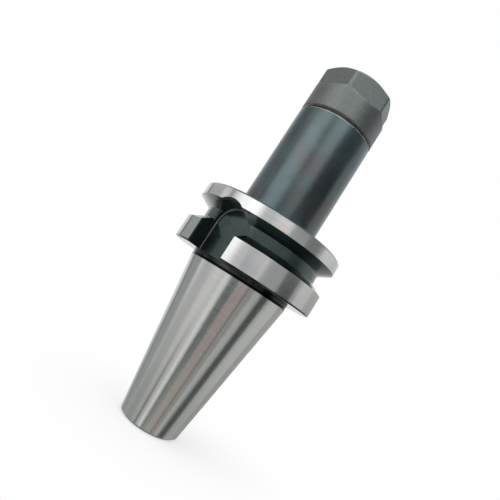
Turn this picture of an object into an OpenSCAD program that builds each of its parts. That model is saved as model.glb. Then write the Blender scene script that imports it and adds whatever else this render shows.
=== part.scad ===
// Collet chuck with a steep-taper shank: a ground 7:24 taper, a V-grooved drive flange with two key
// slots, a slim neck, and a slit spring collet that a hexagon nut draws into the cone in the nose.
// The origin is on the axis at the taper's gauge line, +Z points towards the nut, and the two
// drive slots lie on the Y axis. All sizes are millimetres.

/* [Taper shank] */
// Diameter of the taper at its gauge line
gauge_d = 44.45; // [43:0.05:45]
// Length of the shank behind the gauge line
taper_len = 65.4; // [60:0.1:70]
// Width of the chamfer round the small end
end_chamfer = 0.8; // [0.3:0.1:1.5]
// Depth of the relief groove that ends the taper
relief_depth = 0.5; // [0.3:0.05:0.8]
// Width of the relief groove at its mouth
relief_w = 0.6; // [0.4:0.1:1]
// Depth of the turned collar between the relief groove and the flange
undercut_depth = 0.1; // [0.05:0.05:0.25]
// Distance from the gauge line to the rear face of the flange
flange_rear = 2; // [1.5:0.1:4]

/* [Flange] */
// Outer diameter of the flange
flange_d = 63; // [61:0.5:70]
// Distance from the gauge line to the front face of the flange
flange_front = 27; // [25:0.5:32]
// Chamfer on the rear edge of the flange
rear_chamfer = 0.6; // [0.2:0.1:1.5]
// Chamfer on the front edge of the flange
front_chamfer = 0.7; // [0.2:0.1:1.5]
// Distance from the gauge line to the middle of the gripper groove
groove_centre = 16.6; // [15:0.1:18]
// Diameter at the bottom of the gripper groove
groove_d = 52.5; // [50:0.5:56]
// Width of the gripper groove at its mouth
groove_mouth_w = 10.1; // [9:0.1:12]
// Slope of each flank of the gripper groove, in degrees
groove_flank = 30; // [20:1:35]

/* [Drive slots] */
// Width of each drive slot
slot_w = 16.1; // [14:0.1:18]
// Distance from the axis to the floor of each slot
slot_floor = 22.6; // [22.5:0.1:25]
// Distance from the gauge line to the top of each slot's round end
slot_top = 22.7; // [18:0.1:24]
// Fillet between a slot's floor and its wall
slot_fillet = 0.6; // [0.3:0.1:1.5]
// Chamfer that breaks the edges of each slot on the rim
slot_chamfer = 0.6; // [0.2:0.05:0.8]
// Chamfer that breaks the edges of each slot inside the gripper groove
groove_chamfer = 0.8; // [0.2:0.05:1]

/* [Neck] */
// Diameter of the neck
neck_d = 34; // [32:0.5:38]
// Distance from the gauge line to the shoulder at the front of the neck
neck_front = 75; // [70:0.5:110]
// Chamfer on the front edge of the neck
neck_chamfer = 0.45; // [0.2:0.05:1]
// Fillet where the neck meets the flange
neck_fillet = 1.2; // [0.5:0.1:2]

/* [Nose] */
// Outer diameter of the nose thread
nose_thread_d = 25; // [24:0.5:26]
// Pitch of the nose thread
nose_pitch = 1.5; // [1:0.25:2]
// Length of the plain relief behind the nose thread
nose_relief_w = 2.4; // [1:0.1:3]
// Length that the nose stands out of the shoulder
nose_len = 14.6; // [12:0.1:14.8]
// Chamfer on the front edge of the nose
nose_chamfer = 0.5; // [0.2:0.1:0.7]

/* [Clamping nut] */
// Outer diameter of the nut
nut_d = 34; // [32:0.5:36]
// Distance across the nut's flats
nut_flats = 30; // [29:0.5:31]
// Overall length of the nut
nut_len = 21.6; // [21.4:0.1:24]
// Gap between the neck's shoulder and the nut when it is tight
nut_gap = 1.2; // [1:0.1:2]
// Azimuth of one flat when the nut is tight, in degrees
nut_azimuth = 16.65; // [0:0.05:60]
// Length of each flat along its middle
flat_len = 11.3; // [8:0.1:13]
// Radius of the cutter that milled the flats
flat_cutter_r = 20; // [16:1:30]
// Radius of the flat ring on the nut's front face
nut_face_r = 13; // [12:0.1:14]
// Slope of the nut's front chamfer, in degrees
nut_chamfer_slope = 35; // [25:1:45]
// Chamfer on the rear edge of the nut
nut_rear_chamfer = 0.4; // [0.2:0.1:1]
// Diameter of the nut's mouth
nut_mouth_d = 17.2; // [16:0.1:18]
// Length of the straight part of the nut's mouth
nut_mouth_len = 0.6; // [0.3:0.1:1.5]
// Thickness of the eccentric lip that pulls the collet out
lip_w = 1.6; // [1:0.1:1.9]
// Diameter of the eccentric lip's hole
lip_hole_d = 20; // [19.6:0.1:20.6]

/* [Spring collet] */
// Largest diameter of the collet's long cone
collet_d = 21; // [20.8:0.1:21.2]
// Overall length of the collet
collet_len = 31.5; // [29:0.5:34]
// Diameter of the collet's front face
collet_face_d = 17.5; // [17:0.1:18]
// Diameter of the head in front of the extraction groove
collet_head_d = 20.8; // [20.6:0.1:21]
// Distance from the front face to the extraction groove
collet_head_len = 3.4; // [3.1:0.1:3.8]
// Width of the extraction groove
collet_groove_w = 2.6; // [2.4:0.1:3]
// Diameter at the bottom of the extraction groove
collet_groove_d = 17.4; // [17:0.1:17.8]
// Half angle of the collet's long cone, in degrees
collet_slope = 8; // [7.5:0.5:8.5]
// Half angle of the collet's front cone, in degrees
collet_front_slope = 30; // [28:1:32]
// Diameter of the collet's bore, which holds the tool
collet_bore_d = 10; // [4:0.5:11]
// Number of slits cut from each end of the collet
slit_count = 8; // [4:1:8]
// Width of each slit
slit_w = 0.8; // [0.4:0.1:1]
// Length left uncut beyond the slits that start at the front
slit_web_rear = 4.5; // [3:0.5:8]
// Length left uncut beyond the slits that start at the rear
slit_web_front = 9.5; // [8:0.5:12]
// Chamfer on the ends of the collet's bore
collet_chamfer = 0.5; // [0.2:0.1:0.8]

/* [Bores of the shank] */
// Diameter of the pilot bore in the small end
pilot_d = 17; // [16.5:0.1:18]
// Depth of the pilot bore
pilot_len = 9; // [6:0.5:12]
// Outer diameter of the pull stud's thread
stud_thread_d = 16; // [14:0.5:16]
// Length of the pull stud's thread
stud_thread_len = 27; // [20:1:30]
// Diameter of the passage through the middle of the shank
passage_d = 8.5; // [6:0.5:9]
// Diameter of the clearance bore behind the collet
shank_bore_d = 13.2; // [12.6:0.1:13.4]
// Depth of the clearance bore behind the collet's cone
shank_bore_len = 16; // [10:1:18]
// Length of the thread that takes the stop screw
stop_thread_len = 34; // [30:1:36]
// Slope of the drill point at the end of each blind bore, in degrees
drill_slope = 30; // [25:1:35]

/* [Stop screw] */
// Outer diameter of the stop screw
stop_screw_d = 12; // [11:0.5:12]
// Length of the stop screw
stop_screw_len = 16; // [12:1:18]
// Distance of the stop screw below the front of its thread
stop_screw_depth = 7; // [6:0.5:12]
// Distance across the flats of the stop screw's socket
socket_flats = 6; // [5:0.5:7]
// Depth of the stop screw's socket
socket_len = 7; // [4:0.5:9]
// Diameter of the coolant hole through the stop screw
coolant_d = 4; // [2:0.5:4.5]
// Chamfer on both ends of the stop screw
stop_screw_chamfer = 0.9; // [0.5:0.1:1.2]

/* [Fits] */
// Gap left between the seated cones
seat_gap = 0.05; // [0.02:0.01:0.1]
// Radial gap between a thread's core and the bore that it runs in
thread_gap = 0.07; // [0.02:0.01:0.1]
// Radial gap between the lip and the bottom of the extraction groove
lip_gap = 0.3; // [0.2:0.05:0.5]

/* [Hidden] */

$fn = 144;
over = 1;

// The taper is 7 in diameter to 24 in length
taper_slope = 7 / 24 / 2;
thread_depth_share = 0.6;

flange_r = flange_d / 2;
groove_r = groove_d / 2;
neck_r = neck_d / 2;
nut_r = nut_d / 2;
collet_r = collet_d / 2;

groove_half_mouth = groove_mouth_w / 2;
groove_half_bottom = groove_half_mouth - (flange_r - groove_r) * tan(groove_flank);

slot_r = slot_w / 2;
slot_centre = slot_top - slot_r;

nose_core_r = nose_thread_d / 2 - nose_pitch * thread_depth_share;
nose_relief_r = nose_core_r - 0.25;
nose_front = neck_front + nose_len;

nut_rear = neck_front + nut_gap;
nut_front = nut_rear + nut_len;
nut_cone_start = nut_front - nut_mouth_len;

// The collet's face lies where its front cone fills the nut's cone, short of the seat gap
seat_offset_front = seat_gap / cos(collet_front_slope);
collet_face = nut_cone_start
    - (collet_face_d - nut_mouth_d + 2 * seat_offset_front) / 2 / tan(collet_front_slope);
collet_rear = collet_face - collet_len;
collet_groove_front = collet_face - collet_head_len;
collet_groove_rear = collet_groove_front - collet_groove_w;
collet_land = 0.3;
collet_cone_start = collet_groove_rear - collet_land;
collet_rear_r = collet_r - (collet_cone_start - collet_rear) * tan(collet_slope);
collet_head_cone_len = (collet_head_d - collet_face_d) / 2 / tan(collet_front_slope);

lip_offset = (lip_hole_d - collet_groove_d) / 2 - lip_gap;
lip_rear = collet_groove_rear + (collet_groove_w - lip_w) / 2;
lip_front = lip_rear + lip_w;
lip_pocket_r = nut_mouth_d / 2 + (nut_cone_start - lip_front) * tan(collet_front_slope);

// The cone in the nose follows the collet's cone at the seat gap, and ends below the collet
seat_offset = seat_gap / cos(collet_slope);
seat_below = 2;
seat_bottom = collet_rear - seat_below;
function seat_r(z) = collet_r + seat_offset - (collet_cone_start - z) * tan(collet_slope);

shank_bore_bottom = seat_bottom - shank_bore_len;
stop_thread_r = stop_screw_d / 2 + thread_gap;
stop_thread_bottom = shank_bore_bottom - stop_thread_len;
small_end = -taper_len;
stud_thread_bottom = small_end + pilot_len + stud_thread_len;
stop_screw_front = shank_bore_bottom - stop_screw_depth;
stop_screw_rear = stop_screw_front - stop_screw_len;

// Radius of the taper at a height
function taper_r(z) = gauge_d / 2 + z * taper_slope;

// Points of an arc, from one angle to the other
function arc(centre, r, from, to, steps = 8) =
    [for (i = [0:steps]) centre + r * [cos(from + (to - from) * i / steps), sin(from + (to - from) * i / steps)]];

// Distance from the axis of the slot wall's edge on a cylinder of radius r
function edge_distance(r) = sqrt(r * r - slot_r * slot_r);

// Half section of the shank, the flange, the neck and the nose, before any bore
module holder_section() {
    undercut_r = gauge_d / 2 - undercut_depth;
    polygon(concat(
        [
            [0, small_end],
            [taper_r(small_end) - end_chamfer, small_end],
            [taper_r(small_end + end_chamfer), small_end + end_chamfer],
            [gauge_d / 2, 0],
            [gauge_d / 2 - relief_depth, relief_w / 2],
            [undercut_r, relief_w],
            [undercut_r, flange_rear],
            [flange_r - rear_chamfer, flange_rear],
            [flange_r, flange_rear + rear_chamfer],
            [flange_r, groove_centre - groove_half_mouth],
            [groove_r, groove_centre - groove_half_bottom],
            [groove_r, groove_centre + groove_half_bottom],
            [flange_r, groove_centre + groove_half_mouth],
            [flange_r, flange_front - front_chamfer],
            [flange_r - front_chamfer, flange_front]
        ],
        arc([neck_r + neck_fillet, flange_front + neck_fillet], neck_fillet, 270, 180),
        [
            [neck_r, neck_front - neck_chamfer],
            [neck_r - neck_chamfer, neck_front],
            [nose_relief_r, neck_front],
            [nose_relief_r, neck_front + nose_relief_w],
            [nose_core_r, neck_front + nose_relief_w + nose_core_r - nose_relief_r],
            [nose_core_r, nose_front - nose_chamfer],
            [nose_core_r - nose_chamfer, nose_front],
            [0, nose_front]
        ]
    ));
}

// Half section of everything bored along the axis, from the small end up to the nose
module bore_section() {
    pilot_chamfer = 0.6;
    drill = tan(drill_slope);
    stud_r = stud_thread_d / 2;
    passage_r = passage_d / 2;
    polygon([
        [0, small_end - over],
        [pilot_d / 2 + pilot_chamfer + over, small_end - over],
        [pilot_d / 2, small_end + pilot_chamfer],
        [pilot_d / 2, small_end + pilot_len],
        [stud_r, small_end + pilot_len + pilot_d / 2 - stud_r],
        [stud_r, stud_thread_bottom],
        [passage_r, stud_thread_bottom + (stud_r - passage_r) * drill],
        [passage_r, stop_thread_bottom - (stop_thread_r - passage_r) * drill],
        [stop_thread_r, stop_thread_bottom],
        [stop_thread_r, shank_bore_bottom],
        [shank_bore_d / 2, shank_bore_bottom + (shank_bore_d / 2 - stop_thread_r)],
        [shank_bore_d / 2, seat_bottom],
        [seat_r(seat_bottom), seat_bottom],
        [seat_r(nose_front), nose_front],
        [seat_r(nose_front + over), nose_front + over],
        [0, nose_front + over]
    ]);
}

// Half section of a slot cutter: x runs across the slot and y outwards from the axis
function slot_half_section(flare_from, chamfer) = concat(
    [[0, slot_floor]],
    arc([slot_r - slot_fillet, slot_floor + slot_fillet], slot_fillet, 270, 360),
    [
        [slot_r, flare_from],
        [slot_r + chamfer, flare_from + chamfer],
        [slot_r + chamfer, flange_r + over],
        [0, flange_r + over]
    ]
);

// Straight part of a slot, between two heights, whose edge chamfer starts at flare_from
module slot_channel(bottom, top, flare_from, chamfer) {
    translate([0, 0, bottom])
    linear_extrude(top - bottom) {
        polygon(slot_half_section(flare_from, chamfer));
        mirror([1, 0]) polygon(slot_half_section(flare_from, chamfer));
    }
}

// Round end of a slot, turned about the slot's own axis
module slot_end(flare_from, chamfer) {
    translate([0, 0, slot_centre])
    rotate([-90, 0, 0])
    rotate_extrude()
    polygon(slot_half_section(flare_from, chamfer));
}

// Slot edge on the groove's lower flank, seen along X: from the groove's bottom to its mouth
flank_foot = [edge_distance(groove_r), groove_centre - groove_half_bottom];
flank_head = [edge_distance(flange_r), groove_centre - groove_half_mouth];
flank_run = flank_head - flank_foot;
flank_turn = atan2(flank_run[0], -flank_run[1]);
// The chamfers on the groove's bottom and on its flank meet on a plane at half the angle between them
mitre = [1, tan(flank_turn / 2)];
mitre_reach = 2 * groove_chamfer;
mitre_ends = [flank_foot - mitre_reach * mitre, flank_foot + mitre_reach * mitre];

// Extrudes an outline in the YZ plane right across the flange
module across_slot() {
    rotate([90, 0, 90])
    translate([0, 0, -flange_r])
    linear_extrude(flange_d)
    children();
}

// Section of the space over the groove's bottom, down to the mitre
module groove_bottom_zone() {
    top = groove_centre + groove_half_bottom;
    polygon([mitre_ends[0], mitre_ends[1], [mitre_ends[1][0], top], [mitre_ends[0][0], top]]);
}

// Section of the space along the groove's lower flank, up to the mitre
module lower_flank_zone() {
    outside = flange_r + 2 * over;
    polygon([
        mitre_ends[0],
        mitre_ends[1],
        [outside, mitre_ends[1][1]],
        [outside, flange_rear],
        [mitre_ends[0][0], flange_rear]
    ]);
}

// Wedge that breaks one slot edge along the groove's lower flank
module flank_wedge() {
    translate([0, flank_foot[0], flank_foot[1]])
    rotate([flank_turn - 180, 0, 0])
    translate([0, 0, -mitre_reach])
    linear_extrude(norm(flank_run) + mitre_reach + over)
    polygon([
        [slot_r - slot_fillet, -over],
        [slot_r + groove_chamfer + over, -over],
        [slot_r - slot_fillet, groove_chamfer + slot_fillet]
    ]);
}

// One drive slot on the +Y side, with its edges broken on the rim and in the gripper groove
module drive_slot() {
    rim_flare = edge_distance(flange_r) - slot_chamfer;
    groove_flare = edge_distance(groove_r) - groove_chamfer;
    slot_channel(flange_rear - over, slot_centre, rim_flare, slot_chamfer);
    slot_end(flange_r - 2 * slot_chamfer, slot_chamfer);
    intersection() {
        union() {
            slot_channel(groove_centre - groove_half_mouth, slot_centre, groove_flare, groove_chamfer);
            slot_end(groove_flare, groove_chamfer);
        }
        across_slot() groove_bottom_zone();
    }
    for (side = [0, 1]) mirror([side, 0, 0]) intersection() {
        flank_wedge();
        across_slot() lower_flank_zone();
    }
}

// One-piece chuck body: shank, flange, neck and nose
module holder_body() {
    color("#8d9294")
    difference() {
        rotate_extrude() holder_section();
        rotate_extrude() bore_section();
        for (turn = [0, 180]) rotate([0, 0, turn]) drive_slot();
    }
}

// Half section of the nut's outside
module nut_section() {
    polygon([
        [0, nut_rear],
        [nut_r - nut_rear_chamfer, nut_rear],
        [nut_r, nut_rear + nut_rear_chamfer],
        [nut_r, nut_front - (nut_r - nut_face_r) * tan(nut_chamfer_slope)],
        [nut_face_r, nut_front],
        [0, nut_front]
    ]);
}

// Half section of the nut's inside: the threaded bore, and the pocket and cone for the collet's head
module nut_bore_section() {
    bore_r = nose_core_r + thread_gap;
    mouth_r = nut_mouth_d / 2;
    polygon([
        [0, nut_rear - over],
        [bore_r + nut_rear_chamfer + over, nut_rear - over],
        [bore_r, nut_rear + nut_rear_chamfer],
        [bore_r, lip_rear],
        [0, lip_rear]
    ]);
    polygon([
        [0, lip_front],
        [lip_pocket_r, lip_front],
        [mouth_r, nut_cone_start],
        [mouth_r, nut_front + over],
        [0, nut_front + over]
    ]);
}

// Hexagon clamping nut with its eccentric extraction lip
module clamping_nut() {
    color("#43484b")
    rotate([0, 0, nut_azimuth])
    difference() {
        rotate_extrude() nut_section();
        rotate_extrude() nut_bore_section();
        translate([lip_offset, 0, lip_rear - over / 2]) cylinder(d = lip_hole_d, h = lip_w + over);
        for (turn = [0:60:300])
            rotate([0, 0, turn])
            translate([nut_flats / 2, 0, nut_front - flat_len + flat_cutter_r])
            rotate([0, 90, 0])
            cylinder(r = flat_cutter_r, h = nut_r);
    }
}

// Half section of the collet, with its bore
module collet_section() {
    bore_r = collet_bore_d / 2;
    head_r = collet_head_d / 2;
    groove_bottom_r = collet_groove_d / 2;
    rear_chamfer_w = 0.5;
    polygon([
        [bore_r + collet_chamfer, collet_face],
        [collet_face_d / 2, collet_face],
        [head_r, collet_face - collet_head_cone_len],
        [head_r, collet_groove_front],
        [groove_bottom_r, collet_groove_front],
        [groove_bottom_r, collet_groove_rear],
        [collet_r - collet_land, collet_groove_rear],
        [collet_r, collet_cone_start],
        [collet_rear_r + rear_chamfer_w * tan(collet_slope), collet_rear + rear_chamfer_w],
        [collet_rear_r - rear_chamfer_w, collet_rear],
        [bore_r + collet_chamfer, collet_rear],
        [bore_r, collet_rear + collet_chamfer],
        [bore_r, collet_face - collet_chamfer]
    ]);
}

// One slit that leaves the axis along +X, between two heights
module slit(bottom, top) {
    translate([0, -slit_w / 2, bottom]) cube([collet_d, slit_w, top - bottom]);
}

// Spring collet: slits from the front and from the rear pass each other along most of its length
module spring_collet() {
    step = 360 / slit_count;
    color("#c4c8cb")
    difference() {
        rotate_extrude() collet_section();
        for (i = [0:slit_count - 1]) {
            rotate([0, 0, i * step]) slit(collet_rear + slit_web_rear, collet_face + over);
            rotate([0, 0, (i + 0.5) * step]) slit(collet_rear - over, collet_face - slit_web_front);
        }
    }
}

// Stop screw that sets how deep the tool's shank goes, with a socket and a coolant hole
module stop_screw() {
    screw_r = stop_screw_d / 2;
    color("#2f3234")
    difference() {
        rotate_extrude() polygon([
            [0, stop_screw_rear],
            [screw_r - stop_screw_chamfer, stop_screw_rear],
            [screw_r, stop_screw_rear + stop_screw_chamfer],
            [screw_r, stop_screw_front - stop_screw_chamfer],
            [screw_r - stop_screw_chamfer, stop_screw_front],
            [0, stop_screw_front]
        ]);
        translate([0, 0, stop_screw_rear - over]) cylinder(d = coolant_d, h = stop_screw_len + 2 * over);
        translate([0, 0, stop_screw_front - socket_len])
        cylinder(r = socket_flats / 2 / cos(30), h = socket_len + over, $fn = 6);
    }
}

holder_body();
clamping_nut();
spring_collet();
stop_screw();
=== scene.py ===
"""The looks of the collet chuck: ground and blackened steels, screw threads, and a white studio."""

import math

import bmesh
import bpy
from mathutils import Matrix, Vector


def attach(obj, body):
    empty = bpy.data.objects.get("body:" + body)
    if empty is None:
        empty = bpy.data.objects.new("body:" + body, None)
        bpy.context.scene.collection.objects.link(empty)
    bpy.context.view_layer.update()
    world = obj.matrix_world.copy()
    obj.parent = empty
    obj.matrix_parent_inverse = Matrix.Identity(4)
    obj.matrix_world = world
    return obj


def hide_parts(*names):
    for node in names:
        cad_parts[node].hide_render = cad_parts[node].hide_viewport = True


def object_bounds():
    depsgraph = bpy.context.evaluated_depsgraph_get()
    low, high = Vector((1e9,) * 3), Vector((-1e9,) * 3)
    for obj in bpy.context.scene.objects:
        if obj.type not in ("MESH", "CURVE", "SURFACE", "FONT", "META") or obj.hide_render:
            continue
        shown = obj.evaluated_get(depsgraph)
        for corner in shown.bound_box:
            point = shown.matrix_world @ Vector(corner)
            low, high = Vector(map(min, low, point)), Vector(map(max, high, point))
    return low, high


MM = 0.001

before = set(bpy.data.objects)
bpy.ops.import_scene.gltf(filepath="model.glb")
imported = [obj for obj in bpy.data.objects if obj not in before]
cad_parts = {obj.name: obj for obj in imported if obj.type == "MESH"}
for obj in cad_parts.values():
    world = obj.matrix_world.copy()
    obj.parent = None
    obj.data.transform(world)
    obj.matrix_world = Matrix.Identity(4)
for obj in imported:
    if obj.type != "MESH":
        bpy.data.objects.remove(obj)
cad_low, cad_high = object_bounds()
scene = bpy.context.scene


# Camera

# The camera's place, and its right, up and backward directions, from the fit to the photograph.
CAMERA_PLACE = Vector((103.285, -156.562, -5.494)) * MM
CAMERA_RIGHT = Vector((0.754207, 0.386098, 0.531131))
CAMERA_UP = Vector((-0.409396, -0.355915, 0.840071))
CAMERA_BACK = Vector((0.513387, -0.851031, -0.110367))
CAMERA_AZIMUTH = math.degrees(math.atan2(CAMERA_PLACE.y, CAMERA_PLACE.x))
# The lens from the same fit: its focal length and sensor in mm, and how far the picture is shifted.
FOCAL_LENGTH = 32.892
SENSOR_WIDTH = 36
LENS_SHIFT = (-0.04824, 0.01945)

lens = bpy.data.cameras.new("photo_lens")
lens.lens = FOCAL_LENGTH
lens.sensor_width = SENSOR_WIDTH
lens.shift_x, lens.shift_y = LENS_SHIFT
lens.clip_start = 0.01
lens.clip_end = 20
camera = bpy.data.objects.new("photo_camera", lens)
scene.collection.objects.link(camera)
turned = Matrix((CAMERA_RIGHT, CAMERA_UP, CAMERA_BACK)).transposed()
camera.matrix_world = Matrix.Translation(CAMERA_PLACE) @ turned.to_4x4()
scene.camera = camera


# Colours and nodes


def linear(colour):
    """A colour written as sRGB hex, as the linear numbers that shaders take."""
    parts = [int(colour[i : i + 2], 16) / 255 for i in (1, 3, 5)]
    return [p / 12.92 if p <= 0.04045 else ((p + 0.055) / 1.055) ** 2.4 for p in parts] + [1.0]


def node(tree, kind, inputs=None, **settings):
    """Adds a node with its settings, and sets or links its inputs."""
    made = tree.nodes.new(kind)
    for name, value in settings.items():
        setattr(made, name, value)
    for name, value in (inputs or {}).items():
        socket = made.inputs[name]
        if isinstance(value, bpy.types.NodeSocket):
            tree.links.new(value, socket)
        else:
            socket.default_value = value
    return made


def new_material(name):
    """An empty node material, its tree and its output."""
    made = bpy.data.materials.new(name)
    made.use_nodes = True
    tree = made.node_tree
    tree.nodes.clear()
    return made, tree, node(tree, "ShaderNodeOutputMaterial")


# How often a tool's line changes on its way round the axis, per metre.
LINE_CHANGES = 60
# The values of the noise at which a surface's tone, shine, stains and wear are least and most.
TONE_ENDS = (0.3, 0.7)
SHINE_ENDS = (0.25, 0.75)
STAIN_ENDS = (0.42, 0.7)
WEAR_ENDS = (0.4, 0.6)
# Width of a stain, in mm.
STAIN_MM = 16
# Cosines of the bend of an edge, where its wear and painted highlight start and where they are full.
BEND_ENDS = (0.995, 0.93)
# Where an edge is worn least, it is worn by this share of the most.
LEAST_WEAR = 0.3
# Bare steel that shows through the oxide of a rubbed edge, and is also painted there as a highlight.
BARE_EDGE_HIGHLIGHT = "#b8b3af"


def machined_steel(
    name,
    pale,
    dark,
    roughness,
    spread,
    line_mm,
    patch_mm,
    grain,
    bump_mm,
    edge_mm=0.12,
    rubbed_highlight=0.0,
    stain=None,
    film=0.0,
):
    """Steel whose surface a tool has left: fine lines round the axis, soft patches and a fine grain.

    pale and dark are the two ends of its colour, and spread is how far the roughness wanders.
    line_mm is the distance between the lines, patch_mm the size of the patches and bump_mm how deep
    both are. grain is how much the patches, and not the lines, make the surface vary. edge_mm is the
    radius of the broken edges, and rubbed_highlight how bare the steel is there, which is also a painted
    highlight. stain tints wide patches of the surface, and film is how much light an oxide film scatters
    by itself."""
    made, tree, output = new_material(name)
    place = node(tree, "ShaderNodeTexCoord").outputs["Object"]
    # Round the axis a line is long, and along the axis it is as thin as line_mm says.
    stretch = (LINE_CHANGES, LINE_CHANGES, 1 / (line_mm * MM))
    along = node(tree, "ShaderNodeVectorMath", {0: place, 1: stretch}, operation="MULTIPLY").outputs[0]
    lines = node(
        tree,
        "ShaderNodeTexNoise",
        {"Vector": along, "Scale": 1.0, "Detail": 3.0, "Roughness": 0.6},
    ).outputs["Fac"]
    patches = node(
        tree,
        "ShaderNodeTexNoise",
        {"Vector": place, "Scale": 1 / (patch_mm * MM), "Detail": 4.0, "Roughness": 0.55},
    ).outputs["Fac"]
    mixed = node(
        tree,
        "ShaderNodeMix",
        {"Factor": grain, "A": lines, "B": patches},
        data_type="FLOAT",
        clamp_factor=True,
    ).outputs["Result"]
    tone = node(
        tree,
        "ShaderNodeMapRange",
        {"Value": mixed, "From Min": TONE_ENDS[0], "From Max": TONE_ENDS[1]},
        interpolation_type="SMOOTHSTEP",
    ).outputs["Result"]
    colour = node(
        tree,
        "ShaderNodeMix",
        {"Factor": tone, "A": linear(dark), "B": linear(pale)},
        data_type="RGBA",
    ).outputs["Result"]
    if stain:
        wide = node(
            tree,
            "ShaderNodeTexNoise",
            {"Vector": place, "Scale": 1 / (STAIN_MM * MM), "Detail": 2.0},
        ).outputs["Fac"]
        amount = node(
            tree,
            "ShaderNodeMapRange",
            {"Value": wide, "From Min": STAIN_ENDS[0], "From Max": STAIN_ENDS[1]},
            interpolation_type="SMOOTHSTEP",
        ).outputs["Result"]
        colour = node(
            tree,
            "ShaderNodeMix",
            {"Factor": amount, "A": colour, "B": linear(stain)},
            data_type="RGBA",
        ).outputs["Result"]
    shine = node(
        tree,
        "ShaderNodeMapRange",
        {
            "Value": mixed,
            "From Min": SHINE_ENDS[0],
            "From Max": SHINE_ENDS[1],
            "To Min": roughness - spread,
            "To Max": roughness + spread,
        },
    ).outputs["Result"]
    soft_edge = node(tree, "ShaderNodeBevel", {"Radius": edge_mm * MM}, samples=6).outputs["Normal"]
    if rubbed_highlight:
        # An edge is where the softened surface bends away from the true one. There the colour turns to
        # bare steel: worn, and a painted highlight.
        flat = node(tree, "ShaderNodeNewGeometry").outputs["Normal"]
        bend = node(
            tree,
            "ShaderNodeVectorMath",
            {0: soft_edge, 1: flat},
            operation="DOT_PRODUCT",
        ).outputs["Value"]
        most = node(
            tree,
            "ShaderNodeMapRange",
            {
                "Value": patches,
                "From Min": WEAR_ENDS[0],
                "From Max": WEAR_ENDS[1],
                "To Min": LEAST_WEAR * rubbed_highlight,
                "To Max": rubbed_highlight,
            },
        ).outputs["Result"]
        wear_and_highlight = node(
            tree,
            "ShaderNodeMapRange",
            {"Value": bend, "From Min": BEND_ENDS[0], "From Max": BEND_ENDS[1], "To Max": most},
        ).outputs["Result"]
        colour = node(
            tree,
            "ShaderNodeMix",
            {"Factor": wear_and_highlight, "A": colour, "B": linear(BARE_EDGE_HIGHLIGHT)},
            data_type="RGBA",
        ).outputs["Result"]
    relief = node(
        tree,
        "ShaderNodeBump",
        {"Height": mixed, "Distance": bump_mm * MM, "Strength": 1.0, "Normal": soft_edge},
    ).outputs["Normal"]
    shader = node(
        tree,
        "ShaderNodeBsdfPrincipled",
        {"Base Color": colour, "Metallic": 1.0 - film, "Roughness": shine, "Normal": relief},
    )
    tree.links.new(shader.outputs["BSDF"], output.inputs["Surface"])
    return made, tree, shader


def oiled(steel, amount, roughness):
    """Lays a thin film of clear oil on a steel, which shines most where it is seen at a low angle."""
    made, _, shader = steel
    shader.inputs["Coat Weight"].default_value = amount
    shader.inputs["Coat Roughness"].default_value = roughness
    shader.inputs["Coat IOR"].default_value = 1.5
    return made


def painted_shade_ring(steel, low, high, shade_colour):
    """Paints a steel black between two heights on the axis: painted shade along the edge of the relief
    groove.
    """
    _, tree, shader = steel
    place = node(tree, "ShaderNodeTexCoord").outputs["Object"]
    height = node(tree, "ShaderNodeSeparateXYZ", {"Vector": place}).outputs["Z"]
    above = node(tree, "ShaderNodeMath", {0: height, 1: low}, operation="GREATER_THAN").outputs[0]
    below = node(tree, "ShaderNodeMath", {0: height, 1: high}, operation="LESS_THAN").outputs[0]
    inside = node(tree, "ShaderNodeMath", {0: above, 1: below}, operation="MULTIPLY").outputs[0]
    bright = shader.inputs["Base Color"].links[0].from_socket
    colour = node(
        tree,
        "ShaderNodeMix",
        {"Factor": inside, "A": bright, "B": linear(shade_colour)},
        data_type="RGBA",
    ).outputs["Result"]
    tree.links.new(colour, shader.inputs["Base Color"])
    return steel


def brushed_round(steel, amount):
    """Stretches a steel's reflections along the axis, a quarter turn from its grinding lines."""
    made, tree, shader = steel
    shader.inputs["Anisotropic"].default_value = amount
    shader.inputs["Anisotropic Rotation"].default_value = 0.25
    around = node(tree, "ShaderNodeTangent", direction_type="RADIAL", axis="Z").outputs["Tangent"]
    tree.links.new(around, shader.inputs["Tangent"])
    return made


# Case-hardened alloy steel, ground: bright, with lines round the axis. The real lines are some 0.05 mm
# apart, and are drawn 0.35 mm apart so that they show. The last 0.4 mm of the taper below the relief
# groove is painted black: painted shade along the groove's edge.
ground = machined_steel(
    "ground_steel",
    "#cccccb",
    "#c2c3c2",
    roughness=0.2,
    spread=0.03,
    line_mm=0.35,
    patch_mm=14,
    grain=0.35,
    bump_mm=0.0006,
)
# The black band here is painted shade along the relief groove's edge.
ground_steel = brushed_round(painted_shade_ring(ground, -0.4 * MM, 1 * MM, "#2a2a2c"), 0.8)
# The same steel, turned and blackened with hot oxide: a blue-grey film with a dull gloss, brownish in
# places, and rubbed through to bare steel on the edges, which also carry a painted highlight. Here and
# below, turning marks some 0.15 mm apart are drawn 0.25 to 0.5 mm apart so that they show.
black_oxide, _, _ = machined_steel(
    "black_oxide_steel",
    "#596668",
    "#4d5a5d",
    roughness=0.26,
    spread=0.03,
    line_mm=0.4,
    patch_mm=9,
    grain=0.85,
    bump_mm=0.0006,
    edge_mm=0.3,
    rubbed_highlight=0.9,
    stain="#5b5c5e",
)
# The film is darkest on the flange, in the groove and in the drive slots, where the cut is rougher and
# some oil has stayed.
flange_oxide_dry = machined_steel(
    "flange_black_oxide",
    "#394a4b",
    "#283536",
    roughness=0.23,
    spread=0.04,
    line_mm=0.4,
    patch_mm=6,
    grain=0.8,
    bump_mm=0.001,
    edge_mm=0.15,
    # its edges are a little rubbed, with a faint painted highlight
    rubbed_highlight=0.12,
    film=0.1,
)
flange_oxide = oiled(flange_oxide_dry, 0.65, 0.2)
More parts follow.
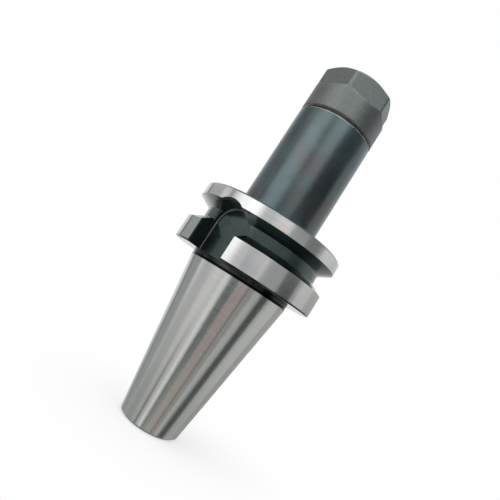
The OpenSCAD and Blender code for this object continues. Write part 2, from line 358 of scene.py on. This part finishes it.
# The collar behind the flange, the relief groove, the flange's rear edge and the chamfers of the drive
# slots are cut smooth, and their oxide is a plain black.
collar_oxide, _, _ = machined_steel(
    "collar_black_oxide",
    "#3b3c3e",
    "#2b2c2e",
    roughness=0.16,
    spread=0.04,
    line_mm=0.25,
    patch_mm=6,
    grain=0.3,
    bump_mm=0.001,
    edge_mm=0.1,
)
# Where a floor of a drive slot turns up into its wall, the fillet is painted paler: a painted highlight
# along that edge.
fillet_highlight_oxide, _, _ = machined_steel(
    "black_oxide_painted_highlight",
    "#69686a",
    "#59585a",
    roughness=0.3,
    spread=0.04,
    line_mm=0.4,
    patch_mm=6,
    grain=0.8,
    bump_mm=0.001,
    edge_mm=0.1,
)
# The nut's oxide lies on a finely blasted surface, so it is satin and a little paler. Its edges are rubbed
# bare and carry a painted highlight.
satin_oxide, _, _ = machined_steel(
    "satin_oxide_steel",
    "#747877",
    "#676b6b",
    roughness=0.46,
    spread=0.05,
    line_mm=0.5,
    patch_mm=1.2,
    grain=0.8,
    bump_mm=0.004,
    edge_mm=0.3,
    rubbed_highlight=1.0,
)
# Bare steel that was turned and never blackened, where the nut covers it. It holds a little old oil.
turned_steel, _, _ = machined_steel(
    "turned_steel_oiled",
    "#d9d8d6",
    "#cac9c7",
    roughness=0.42,
    spread=0.05,
    line_mm=0.4,
    patch_mm=4,
    grain=0.4,
    bump_mm=0.002,
    edge_mm=0.3,
)
# The neck's edge at the nut's gap is rubbed bare, and painted near-white there as a highlight, more in
# some places than in others.
highlight_edge_steel, _, _ = machined_steel(
    "bare_steel_painted_highlight",
    "#f0efec",
    "#aeadaa",
    roughness=0.5,
    spread=0.08,
    line_mm=0.4,
    patch_mm=2.5,
    grain=0.9,
    bump_mm=0.002,
    edge_mm=0.5,
)
# Hardened spring steel, ground all over and left bare: bright and a little bluer than the body.
spring = machined_steel(
    "ground_spring_steel",
    "#c0c3c4",
    "#adb1b3",
    roughness=0.24,
    spread=0.04,
    line_mm=0.3,
    patch_mm=6,
    grain=0.4,
    bump_mm=0.0008,
)
spring_steel = brushed_round(spring, 0.6)
# Bores and the thread for the pull stud are blackened too, over a rougher cut.
bored_steel, _, _ = machined_steel(
    "bored_black_steel",
    "#4c5456",
    "#3c4345",
    roughness=0.42,
    spread=0.05,
    line_mm=0.5,
    patch_mm=5,
    grain=0.4,
    bump_mm=0.003,
)
# The stop screw is a stock set screw: a dull black oxide over rolled threads.
screw_black, _, _ = machined_steel(
    "screw_black_oxide",
    "#4a4e50",
    "#3a3e40",
    roughness=0.4,
    spread=0.05,
    line_mm=0.4,
    patch_mm=3,
    grain=0.6,
    bump_mm=0.002,
)


# Finishes of the CAD nodes

# The taper: its radius at the gauge line, how that grows with the height, how far a face's centre may
# lie off the cone, and the height that the cone stays under.
GAUGE_R = 22.225 * MM
TAPER_RISE = 7 / 48
TAPER_LEEWAY = 0.12 * MM
TAPER_TOP = 1 * MM
# The flange: its radius, how far inside it a face of a rim may lie, the reach of its rear chamfer
# inwards and up, and the height and least radius of all that carries the flange's own oxide.
FLANGE_R = 31.5 * MM
RIM_LEEWAY = 0.15 * MM
REAR_CHAMFER_REACH = 0.7 * MM
REAR_CHAMFER_TOP = 3 * MM
FLANGE_TOP = 27.5 * MM
FLANGE_INNER_R = 17.2 * MM
# The collar and the relief groove between the taper and the flange.
COLLAR_LOW = -1 * MM
COLLAR_TOP = 2 * MM
COLLAR_DEPTH = 0.6 * MM
# The collet's seat: its slope, and the height that it starts above.
SEAT_RISE = math.tan(math.radians(8))
SEAT_LOW = 60 * MM
# All the bores lie inside this radius and between these heights.
BORE_R = 13 * MM
BORE_LOW = -65 * MM
BORE_TOP = 88 * MM
# The neck's front face and its chamfer, and the nut's rear face above it.
NECK_TOP = 75 * MM
NECK_CHAMFER = 0.45 * MM
NUT_REAR = 76.2 * MM
# The drive slots: half the width, the floor's distance from the axis, the height of the round end, the
# fillet round the floor, and how far the chamfer reaches outside the slot and inside the rim.
SLOT_HALF = 8.1 * MM
SLOT_FLOOR = 22.6 * MM
SLOT_TOP = 22.7 * MM
SLOT_FILLET = 0.6 * MM
SLOT_CHAMFER_OUT = 0.8 * MM
SLOT_CHAMFER_IN = 0.9 * MM
# How far a face's centre may lie off a plane that it belongs to.
LEEWAY = 0.05 * MM
# The plain numbers that the ways a face looks are held against below are cosines.


def in_slot_fillet(centre, normal):
    """Whether a face belongs to the fillet round a drive slot's floor."""
    low_enough = SLOT_FLOOR - LEEWAY < abs(centre.y) < SLOT_FLOOR + SLOT_FILLET + LEEWAY
    in_slot = abs(centre.x) < SLOT_HALF and centre.z > COLLAR_TOP
    return low_enough and in_slot and 0.05 < abs(normal.y) < 0.995


def on_slot_edge(centre, normal, outward):
    """Whether a face is the chamfer between a drive slot and the flange's rim."""
    radius = math.hypot(centre.x, centre.y)
    beside = abs(centre.x) < SLOT_HALF + SLOT_CHAMFER_OUT and centre.z < SLOT_TOP + SLOT_CHAMFER_OUT
    return beside and radius > FLANGE_R - SLOT_CHAMFER_IN and 0.4 < outward < 0.97 and abs(normal.y) > 0.4


def holder_finish(centre, normal):
    """Which steel a face of the holder shows, from where it is and which way it looks."""
    radius = math.hypot(centre.x, centre.y)
    outward = (normal.x * centre.x + normal.y * centre.y) / max(radius, 1e-9)
    # the taper, the flange's two rims and the collet's seat are ground
    on_cone = abs(radius - (GAUGE_R + TAPER_RISE * centre.z)) < TAPER_LEEWAY
    if on_cone and outward > 0.9 and centre.z < TAPER_TOP:
        return ground_steel
    if radius > FLANGE_R - RIM_LEEWAY and outward > 0.98:
        return ground_steel
    if outward < -0.9 and abs(-outward * SEAT_RISE - normal.z) < 0.03 and centre.z > SEAT_LOW:
        return ground_steel
    if radius < BORE_R and outward < 0.5 and BORE_LOW <= centre.z < BORE_TOP:
        return bored_steel
    # the neck's worn edge with its painted highlight, and the shoulder and the nose that the nut covers
    if NECK_TOP - NECK_CHAMFER < centre.z < NECK_TOP and 0.5 < normal.z < 0.9:
        return highlight_edge_steel
    if centre.z > NECK_TOP - NECK_CHAMFER and normal.z > -0.5:
        return turned_steel
    # the fillet round a slot's floor carries a painted highlight
    if in_slot_fillet(centre, normal):
        return fillet_highlight_oxide
    # the slots' chamfers, the collar with its groove, and the flange's rear edge
    if on_slot_edge(centre, normal, outward):
        return collar_oxide
    if radius > GAUGE_R - COLLAR_DEPTH and COLLAR_LOW < centre.z < COLLAR_TOP and outward > 0.3:
        return collar_oxide
    if radius > FLANGE_R - REAR_CHAMFER_REACH and centre.z < REAR_CHAMFER_TOP and -0.95 < normal.z < -0.5:
        return collar_oxide
    if radius > FLANGE_INNER_R and COLLAR_LOW < centre.z < FLANGE_TOP:
        return flange_oxide
    return black_oxide


def nut_finish(centre, normal):
    """Which steel a face of the nut shows: it is bare on its rear face."""
    if normal.z < -0.9 and centre.z < NUT_REAR + LEEWAY:
        return turned_steel
    return satin_oxide


def collet_finish(centre, normal):
    """Which steel a face of the collet shows: the same one everywhere."""
    return spring_steel


def paint(piece, steels, finish):
    """Gives a CAD node its steels, and each of its faces the one that finish picks."""
    piece.data.materials.clear()
    for steel in steels:
        piece.data.materials.append(steel)
    for face in piece.data.polygons:
        face.material_index = steels.index(finish(face.center, face.normal))


holder_steels = [
    black_oxide,
    ground_steel,
    bored_steel,
    flange_oxide,
    collar_oxide,
    fillet_highlight_oxide,
    turned_steel,
    highlight_edge_steel,
]
paint(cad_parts["holder_body"], holder_steels, holder_finish)
paint(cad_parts["clamping_nut"], [satin_oxide, turned_steel], nut_finish)
paint(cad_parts["spring_collet"], [spring_steel], collet_finish)


# Screw threads and the stop screw

# Steps round the axis in every thread and ring.
ROUND = 72
# A ridge's half width at its root and at its crest, as shares of the pitch, for flanks of 60 degrees.
HALF_ROOT, HALF_CREST = 0.44, 0.07
# At each end a ridge grows to its full height over this part of a turn, from this share of it.
RUN_OUT = 0.4
LEAST_HEIGHT = 0.05


def new_piece(name, points, faces, steel, body, slot):
    """A mesh piece of the chuck that rides on a CAD body."""
    mesh = bpy.data.meshes.new(name)
    mesh.from_pydata(points, [], faces)
    tidy = bmesh.new()
    tidy.from_mesh(mesh)
    bmesh.ops.recalc_face_normals(tidy, faces=tidy.faces)
    tidy.to_mesh(mesh)
    tidy.free()
    mesh.materials.append(steel)
    piece = bpy.data.objects.new(name, mesh)
    scene.collection.objects.link(piece)
    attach(piece, body)
    return piece


def on_circle(r, angle, z):
    """A point from its radius and height in mm and its angle round the axis."""
    return (r * math.cos(angle) * MM, r * math.sin(angle) * MM, z * MM)


def band(a, b, wide):
    """Faces between two rows of points that close on themselves, from the first index of each row."""
    return [(a + j, a + (j + 1) % wide, b + (j + 1) % wide, b + j) for j in range(wide)]


def thread_ridge(root_r, crest_r, pitch, low, high):
    """Points and faces of one helical ridge, all in mm, with a flat crest and a run-out at each end."""
    turns = (high - low) / pitch - 1
    steps = int(turns * ROUND)
    half_root, half_crest = HALF_ROOT * pitch, HALF_CREST * pitch
    points, faces = [], []
    for i in range(steps + 1):
        angle = 2 * math.pi * i / ROUND
        middle = low + pitch * (0.5 + i / ROUND)
        grown = min(1.0, i / (RUN_OUT * ROUND), (steps - i) / (RUN_OUT * ROUND))
        grown = max(grown, LEAST_HEIGHT)
        crest = root_r + (crest_r - root_r) * grown
        wide = half_crest + (half_root - half_crest) * (1 - grown)
        points.append(on_circle(root_r, angle, middle - half_root))
        points.append(on_circle(crest, angle, middle - wide))
        points.append(on_circle(crest, angle, middle + wide))
        points.append(on_circle(root_r, angle, middle + half_root))
    for i in range(steps):
        faces += band(4 * i, 4 * i + 4, 4)
    faces.append((0, 1, 2, 3))
    faces.append(tuple(4 * steps + j for j in (3, 2, 1, 0)))
    return points, faces


def ring(radius, z, sides=0):
    """Points round the axis in mm: a circle, or a polygon whose flats are radius away."""
    points = []
    for i in range(ROUND):
        angle = 2 * math.pi * i / ROUND
        r = radius
        if sides:
            step = 2 * math.pi / sides
            r = radius / math.cos((angle + step / 2) % step - step / 2)
        points.append(on_circle(r, angle, z))
    return points


def closed_loft(rings):
    """Points and faces of a skin through the rings, and from the last ring back to the first."""
    points = [p for one in rings for p in one]
    faces = []
    for i in range(len(rings)):
        faces += band(ROUND * i, ROUND * ((i + 1) % len(rings)), ROUND)
    return points, faces


# Each thread's radius at the root and at the crest, its pitch, and its lowest and highest height, in
# mm: the nut's thread on the nose, 25 by 1.5, which the nut hides at rest, and the pull stud's thread
# in the small end, 16 by 2.
NOSE_THREAD = (11.58, 12.4, 1.5, 77.6, 89.4)
STUD_THREAD = (8.02, 6.95, 2.0, -56.0, -29.6)
new_piece("nose_thread", *thread_ridge(*NOSE_THREAD), turned_steel, "holder", "holder_steel")
new_piece("stud_thread", *thread_ridge(*STUD_THREAD), bored_steel, "holder", "holder_steel")

# The stop screw, 12 by 1.75, in mm: its ends, the root of its thread, the radii of its two faces, the
# length of the chamfers there, its coolant hole, and half the flats of its socket with the depths of
# the socket's walls and of the drill point under them.
STOP_LOW, STOP_HIGH = 24.34, 40.34
STOP_CORE = 5.15
STOP_REAR_R, STOP_FRONT_R = 4.5, 4.6
STOP_CHAMFER = 0.7
COOLANT_R = 2.0
SOCKET_HALF = 3.0
SOCKET_WALL, SOCKET_POINT = 7, 7.6
# Its thread starts this far inside each end, and sinks its root a little into the core.
STOP_THREAD_END = 0.3
STOP_THREAD = (STOP_CORE - 0.02, 5.95, 1.75, STOP_LOW + STOP_THREAD_END, STOP_HIGH - STOP_THREAD_END)
stop_rings = [
    ring(COOLANT_R, STOP_LOW),
    ring(STOP_REAR_R, STOP_LOW),
    ring(STOP_CORE, STOP_LOW + STOP_CHAMFER),
    ring(STOP_CORE, STOP_HIGH - STOP_CHAMFER),
    ring(STOP_FRONT_R, STOP_HIGH),
    ring(SOCKET_HALF, STOP_HIGH, sides=6),
    ring(SOCKET_HALF, STOP_HIGH - SOCKET_WALL, sides=6),
    ring(COOLANT_R, STOP_HIGH - SOCKET_POINT),
]
stop_core = new_piece("stop_screw_core", *closed_loft(stop_rings), screw_black, "stop", "screw_steel")
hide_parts("stop_screw")
new_piece("stop_screw_thread", *thread_ridge(*STOP_THREAD), screw_black, "stop", "screw_steel")


# Studio

# The camera, reflections and clear things see a world of plain white, and it lights the surfaces a
# little less than that.
WHITE = linear("#ffffff")
SKY_LIGHT = 0.95

white_world = bpy.data.worlds.new("white_studio")
white_world.use_nodes = True
scene.world = white_world
sky = white_world.node_tree
sky.nodes.clear()
ray = node(sky, "ShaderNodeLightPath").outputs
seen = node(sky, "ShaderNodeMath", {0: ray["Is Camera Ray"], 1: ray["Is Glossy Ray"]}, operation="MAXIMUM")
seen = node(
    sky,
    "ShaderNodeMath",
    {0: seen.outputs[0], 1: ray["Is Transmission Ray"]},
    operation="MAXIMUM",
)
soft = node(sky, "ShaderNodeBackground", {"Color": WHITE, "Strength": SKY_LIGHT})
white = node(sky, "ShaderNodeBackground", {"Color": WHITE, "Strength": 1.0})
both = node(sky, "ShaderNodeMixShader", {0: seen.outputs[0], 1: soft.outputs[0], 2: white.outputs[0]})
node(sky, "ShaderNodeOutputWorld", {"Surface": both.outputs[0]})


def stage_piece(name, points, faces, material):
    """A piece of the studio, which isn't part of the chuck."""
    mesh = bpy.data.meshes.new(name)
    mesh.from_pydata(points, [], faces)
    mesh.materials.append(material)
    piece = bpy.data.objects.new(name, mesh)
    scene.collection.objects.link(piece)
    return piece


# A pale floor that keeps the chuck's soft shadow near it, and turns into the white background further
# off: between these distances from the origin, in metres.
SHADOW_ENDS = (0.02, 0.11)
# Half the floor's width in metres, and how far it lies under the small end.
FLOOR = 6.0
FLOOR_GAP = 0.02 * MM

floor_paper, tree, output = new_material("white_paper")
place = node(tree, "ShaderNodeTexCoord").outputs["Object"]
away = node(tree, "ShaderNodeVectorMath", {0: place}, operation="LENGTH").outputs["Value"]
fade = node(
    tree,
    "ShaderNodeMapRange",
    {"Value": away, "From Min": SHADOW_ENDS[0], "From Max": SHADOW_ENDS[1]},
    interpolation_type="SMOOTHSTEP",
).outputs["Result"]
by_camera = node(tree, "ShaderNodeLightPath").outputs["Is Camera Ray"]
faded = node(tree, "ShaderNodeMath", {0: fade, 1: by_camera}, operation="MULTIPLY").outputs[0]
matt = node(tree, "ShaderNodeBsdfDiffuse", {"Color": linear("#fafafa")})
glow = node(tree, "ShaderNodeEmission", {"Color": WHITE, "Strength": 1.0})
paper = node(tree, "ShaderNodeMixShader", {0: faded, 1: matt.outputs[0], 2: glow.outputs[0]})
# From below the paper is clear, so that the small end can be seen.
underside = node(tree, "ShaderNodeNewGeometry").outputs["Backfacing"]
below = node(tree, "ShaderNodeMath", {0: underside, 1: by_camera}, operation="MULTIPLY").outputs[0]
clear = node(tree, "ShaderNodeBsdfTransparent")
paper = node(tree, "ShaderNodeMixShader", {0: below, 1: paper.outputs[0], 2: clear.outputs[0]})
tree.links.new(paper.outputs[0], output.inputs["Surface"])

floor_z = cad_low.z - FLOOR_GAP
floor_corners = [(x * FLOOR, y * FLOOR, floor_z) for x, y in ((-1, -1), (1, -1), (1, 1), (-1, 1))]
floor = stage_piece("paper_floor", floor_corners, [(0, 1, 2, 3)], floor_paper)
floor.visible_glossy = False

# Cards stand round the chuck, and only the metal sees them. Each is a patch of a sphere.
card_face, tree, output = new_material("studio_card")
level = node(tree, "ShaderNodeAttribute", attribute_name="level").outputs["Color"]
cover = node(tree, "ShaderNodeAttribute", attribute_name="cover").outputs["Fac"]
lit = node(tree, "ShaderNodeEmission", {"Color": level, "Strength": 1.0})
clear = node(tree, "ShaderNodeBsdfTransparent")
card = node(tree, "ShaderNodeMixShader", {0: cover, 1: clear.outputs[0], 2: lit.outputs[0]})
tree.links.new(card.outputs[0], output.inputs["Surface"])

# Each card's left and right edge in degrees round from the camera (to its right is plus), its low and
# high edge in degrees up, the light it gives, its soft edge in degrees, and how dense it is. Later
# cards stand in front of earlier ones.
CARDS = [
    # the room's walls, middling grey, low, level and high
    ("room_low_left", -158, -16, -60, -6, (0.62, 0.63, 0.62), 8, 1),
    ("room_low_right", -16, 166, -60, -6, (0.60, 0.61, 0.59), 8, 1),
    ("room_level", -158, 166, -10, 14, (0.78, 0.78, 0.78), 8, 1),
    ("room_high", -150, 160, 11, 28, (0.78, 0.79, 0.79), 6, 1),
    ("ceiling", -150, 160, 22, 75, (1.05, 1.05, 1.02), 6, 1),
    ("top_light", -70, 70, 50, 82, (2.6, 2.6, 2.5), 6, 1),
    # the dark floor straight under the chuck
    ("under_floor", -180, 180, -88, -72, (0.05, 0.05, 0.05), 6, 1),
    # the left wall, and the light edge of a panel on it
    ("left_wall", -139, -96, -60, 14, (0.43, 0.45, 0.46), 5, 1),
    ("left_wall_seam", -131, -125, -30, -2, (0.20, 0.21, 0.21), 2, 1),
    ("left_wall_seam_high", -137.5, -130.5, -6, 14, (0.07, 0.07, 0.07), 2, 1),
    ("left_wall_high", -141, -92, 15, 70, (0.52, 0.54, 0.54), 7, 1),
    ("panel_edge", -98, -82, -14, 12, (1.05, 1.05, 1.02), 4, 1),
    # the window, its sill, its frame and its blind
    ("window_low", -65, -17, -60, 1, (0.86, 0.86, 0.84), 4, 1),
    ("low_shade_left", -102, -20, -70, -22, (0.18, 0.20, 0.18), 9, 0.6),
    ("window", -70, -21, -6, 50, (1.80, 1.82, 1.80), 10, 1),
    ("window_sill", -92, -50, -9, 5, (0.30, 0.33, 0.33), 4, 0.85),
    ("window_shade", -70, -44, 3, 13, (1.15, 1.15, 1.15), 4, 0.7),
    ("window_high", -76, -36, 13, 27, (2.20, 2.25, 2.28), 6, 0.9),
    ("window_frame", -84, -75, -6, 19, (0.34, 0.35, 0.38), 2.5, 1),
    ("window_bar", -39, -32, -60, -8, (0.70, 0.71, 0.70), 2.5, 1),
    ("low_bar", -50, -39, -60, -23, (0.08, 0.10, 0.09), 4, 1),
    ("blind", -31, -21, -60, -5, (0.97, 0.97, 0.95), 2, 1),
    # dark and warm flags beside the camera
    ("black_flag", -20, 5, -60, -6, (0.11, 0.14, 0.14), 5, 1),
    ("warm_flag", 0, 25, -60, -7, (0.43, 0.345, 0.325), 5, 1),
    ("pale_flag", -16, 24, -75, -25, (0.52, 0.52, 0.46), 7, 0.7),
    ("brown_flag", 22, 31, -60, -8, (0.20, 0.165, 0.14), 3, 1),
    ("grey_flag", 30, 41, -60, -8, (0.34, 0.34, 0.31), 3, 1),
    ("blue_flag", -12, 18, -8, 9, (0.42, 0.45, 0.51), 5, 1),
    ("level_flag", 18, 89, -12, 9, (0.34, 0.36, 0.37), 5, 1),
    # the dark doorway to the right, and the pale wall after it
    ("low_shade_right", 46, 166, -70, -22, (0.16, 0.18, 0.15), 9, 0.35),
    ("doorway", 55, 80, -60, -4, (0.10, 0.11, 0.11), 6, 1),
    ("doorway_high", 50, 80, -10, 11, (0.05, 0.06, 0.06), 4, 1),
    ("doorway_low", 51, 84, -75, -22, (0.09, 0.10, 0.09), 8, 0.85),
    ("right_wall", 83, 116, -24, 8, (0.68, 0.69, 0.66), 5, 1),
    ("right_corner", 110, 166, -60, 13, (0.38, 0.39, 0.37), 9, 0.8),
    # above: a dark beam, a warm and a bright panel, a dark shelf and a violet curtain
    ("beam", -24, -2, 9, 19, (0.49, 0.53, 0.55), 5, 1),
    ("warm_panel", -1, 21, 8, 22, (1.15, 1.02, 0.98), 5, 1),
    ("bright_panel", -10, 30, 19, 50, (1.95, 2.02, 2.02), 5, 1),
    ("bright_panel_top", 10, 42, 29, 50, (1.95, 2.02, 2.02), 5, 1),
    ("shelf", 24, 89, 11, 26, (0.04, 0.05, 0.06), 3, 1),
    ("shelf_top", 34, 103, 24, 75, (0.32, 0.34, 0.37), 5, 1),
    ("curtain", 126, 166, 25, 60, (1.00, 1.02, 1.22), 6, 1),
]
# How far off the first card stands and how much nearer each next one, in metres, and the most degrees
# that one face of a card spans.
REACH = 2.5
CARD_GAP = 0.02
CARD_STEP = 6


def studio_card(name, left, right, low, high, light, soft_edge, density, reach):
    """One card as a patch of a sphere, with a feathered edge."""

    def stops(first, last):
        """The card's edges, and even steps between its feathers."""
        inside = last - first - 2 * soft_edge
        count = max(1, math.ceil(inside / CARD_STEP))
        return [first] + [first + soft_edge + inside * i / count for i in range(count + 1)] + [last]

    columns, rows = stops(left, right), stops(low, high)
    points, faces, covers = [], [], []
    for up in rows:
        height, out = reach * math.sin(math.radians(up)), reach * math.cos(math.radians(up))
        for turn in columns:
            azimuth = math.radians(CAMERA_AZIMUTH + turn)
            points.append((out * math.cos(azimuth), out * math.sin(azimuth), height))
            covers.append(0.0 if up in (low, high) or turn in (left, right) else density)
    wide = len(columns)
    for i in range(len(rows) - 1):
        for j in range(wide - 1):
            a = i * wide + j
            faces.append((a, a + 1, a + 1 + wide, a + wide))
    piece = stage_piece(name, points, faces, card_face)
    marks = piece.data.attributes
    marks.new("cover", "FLOAT", "POINT").data.foreach_set("value", covers)
    marks.new("level", "FLOAT_VECTOR", "POINT").data.foreach_set("vector", list(light) * len(points))
    for unseen in ("visible_camera", "visible_diffuse", "visible_shadow", "visible_transmission"):
        setattr(piece, unseen, False)


for place_in_row, row in enumerate(CARDS):
    studio_card(*row, REACH - CARD_GAP * place_in_row)

CHUCK_MIDDLE = Vector((0, 0, 0.02))


def soft_lamp(name, place, size, watts):
    """A square soft box that looks at the chuck's middle. The metal sees the cards in its place."""
    lamp = bpy.data.lights.new(name, "AREA")
    lamp.size = size
    lamp.energy = watts
    made = bpy.data.objects.new(name, lamp)
    made.location = place
    made.rotation_mode = "QUATERNION"
    made.rotation_quaternion = (CHUCK_MIDDLE - Vector(place)).to_track_quat("-Z", "Y")
    made.visible_glossy = False
    scene.collection.objects.link(made)


soft_lamp("key_soft_box", (-0.9, -0.9, 1.3), size=1.2, watts=6)
soft_lamp("fill_soft_box", (1.2, -0.4, 0.9), size=1.2, watts=2)

scene.view_settings.view_transform = "Standard"
